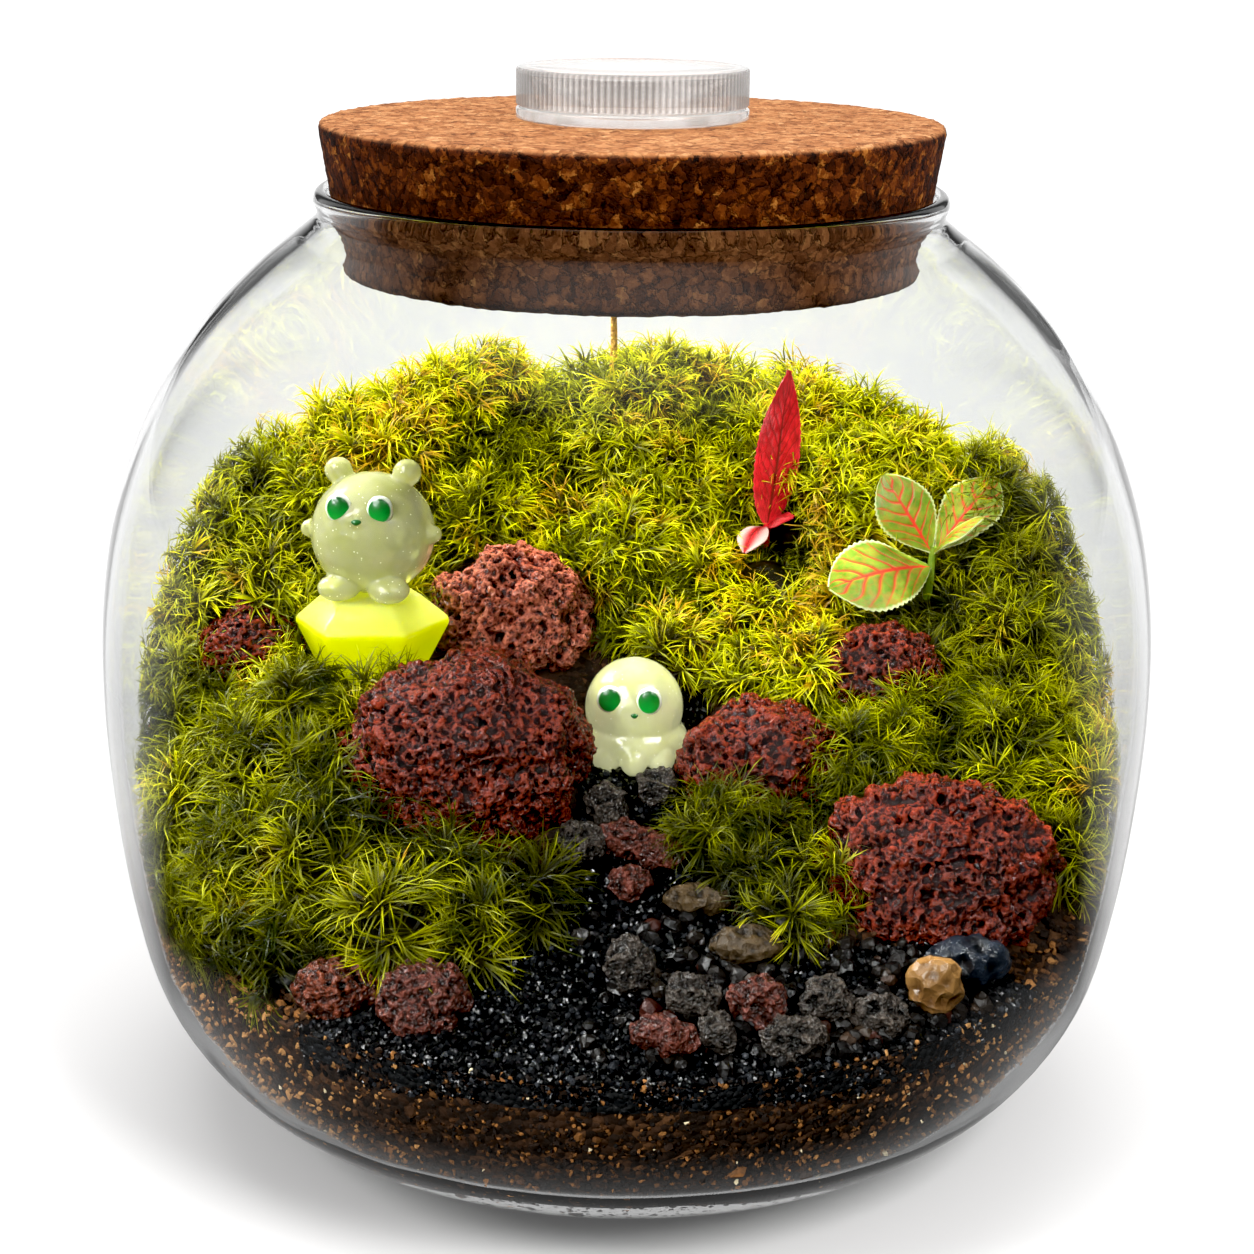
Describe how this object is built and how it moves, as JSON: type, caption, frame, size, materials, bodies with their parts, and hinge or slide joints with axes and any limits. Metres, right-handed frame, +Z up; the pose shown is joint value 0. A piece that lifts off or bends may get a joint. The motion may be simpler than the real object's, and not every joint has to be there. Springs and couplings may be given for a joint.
{
  "type": "glass plant terrarium",
  "caption": "Round glass jar closed by a tapered cork stopper, holding a small landscape of soil, black sand, moss, lava rocks, pebbles, resin figures and nerve plants.",
  "frame": {"origin": "centre of the jar's flat base, on the surface it stands on", "axes": "+Z up along the jar's axis, -Y towards the front of the landscape, +X to its right"},
  "size_m": [0.1996, 0.1996, 0.1996],
  "materials": {
    "jar_glass": "polished",
    "cork": "matte",
    "clear_plastic": "gloss",
    "peat_soil": "matte",
    "black_sand": "matte",
    "moss": "matte",
    "lava_rock": "matte",
    "red_pebble": "matte",
    "dark_pumice": "matte",
    "grey_pebble": "satin",
    "tan_pebble": "satin",
    "bark": "matte",
    "yellow_crystal": "polished",
    "pale_resin": "gloss",
    "green_enamel": "gloss",
    "red_leaf": "satin",
    "green_leaf": "satin",
    "dry_stem": "satin"
  },
  "bodies": {
    "root": {"bark_chip_brown": "bark", "bark_chip_dark": "bark", "bear_eye_1": "green_enamel", "bear_eye_2": "green_enamel", "bear_figure": "pale_resin", "cork_stopper": "cork", "crystal_block": "yellow_crystal", "dry_stalk": "dry_stem", "glass_jar": "jar_glass", "green_nerve_plant": "green_leaf", "lava_rock_far_left": "lava_rock", "lava_rock_front_left": "lava_rock", "lava_rock_front_right": "lava_rock", "lava_rock_middle_left": "lava_rock", "lava_rock_middle_right": "lava_rock", "lava_rock_rear_right": "lava_rock", "lava_rock_small_1": "lava_rock", "lava_rock_small_2": "lava_rock", "moss_back": "moss", "moss_front_left": "moss", "moss_front_right": "moss", "moss_middle_right": "moss", "moss_rear_left": "moss", "moss_right": "moss", "octopus_eye_1": "green_enamel", "octopus_eye_2": "green_enamel", "octopus_figure": "pale_resin", "pebble_brown": "red_pebble", "pebble_grey_1": "grey_pebble", "pebble_grey_2": "grey_pebble", "pebble_grey_3": "grey_pebble", "pebble_grey_4": "grey_pebble", "pebble_red_1": "red_pebble", "pebble_red_2": "red_pebble", "pebble_red_3": "red_pebble", "pebble_red_4": "red_pebble", "pebble_slate": "grey_pebble", "pebble_tan": "tan_pebble", "pebble_umber": "dark_pumice", "puck_base": "clear_plastic", "puck_cap": "clear_plastic", "pumice_dark_1": "dark_pumice", "pumice_dark_2": "dark_pumice", "pumice_grey": "dark_pumice", "pumice_holed": "dark_pumice", "red_nerve_plant": "red_leaf", "sand_path": "black_sand", "soil_bed": "peat_soil"}
  },
  "joints": []
}
